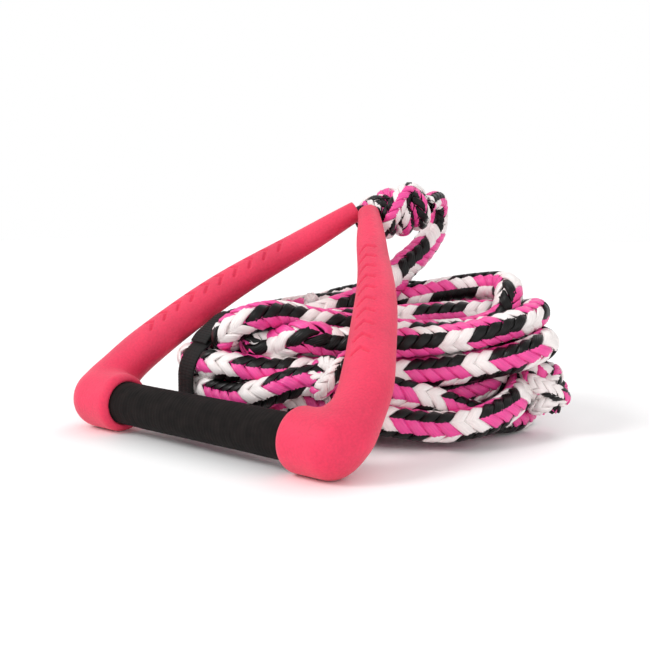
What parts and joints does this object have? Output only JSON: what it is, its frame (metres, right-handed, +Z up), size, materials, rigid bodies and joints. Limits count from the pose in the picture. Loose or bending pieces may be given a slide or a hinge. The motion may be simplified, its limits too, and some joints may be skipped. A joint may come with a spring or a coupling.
{
  "type": "tow rope handle",
  "caption": "Moulded foam tow handle: a rubber-gripped bar between two bowed arms that meet at a knot, on a strapped coil of braided rope.",
  "frame": {"origin": "on the floor, under the centre of the handle's own bounding box, without the rope", "axes": "+X along the bar to the right, +Y from the bar towards the knot, +Z up from the floor"},
  "size_m": [0.2581, 0.2531, 0.1601],
  "materials": {
    "foam": "matte, fine moulded grain",
    "tube_metal": "satin anodised",
    "grip_rubber": "matte, ground",
    "plug_plastic": "moulded",
    "washer_metal": "satin",
    "rope_pink": "glossy braided filament",
    "rope_black": "glossy braided filament",
    "rope_white": "glossy braided filament",
    "webbing": "ribbed woven",
    "patch_pile": "soft pile",
    "patch_hook": "moulded hooks",
    "tag_card": "smooth, blank"
  },
  "bodies": {
    "rope": {"rope_riser": "rope_pink", "rope_coil": "rope_pink", "line_knot_front": "rope_white", "line_knot_end": "rope_white", "rope_tail": "rope_white", "bundle_strap": "webbing", "strap_loop_patch": "patch_pile", "rope_tag": "tag_card"},
    "handle": {"bar_tube": "tube_metal", "grip_sleeve": "grip_rubber", "bar_plug_left": "plug_plastic", "bar_plug_right": "plug_plastic", "bar_washer_left": "washer_metal", "bar_washer_right": "washer_metal", "arm_left": "foam", "arm_right": "foam", "bridle_rope": "rope_black", "handle_knot": "rope_pink"},
    "strap_flap": {"strap_tab": "webbing", "strap_hook_patch": "patch_hook"}
  },
  "joints": [
    {"name": "handle_swing", "type": "hinge", "parent": "rope", "child": "handle", "pos_m": [0.026, 0.1095, 0.1465], "axis": [-1, 0, 0], "range_deg": [0, 80]},
    {"name": "strap_flap_hinge", "type": "hinge", "parent": "rope", "child": "strap_flap", "pos_m": [-0.04536, -0.04306, 0.05972], "axis": [0.9613, -0.2755, 0], "range_deg": [0, 90]}
  ]
}
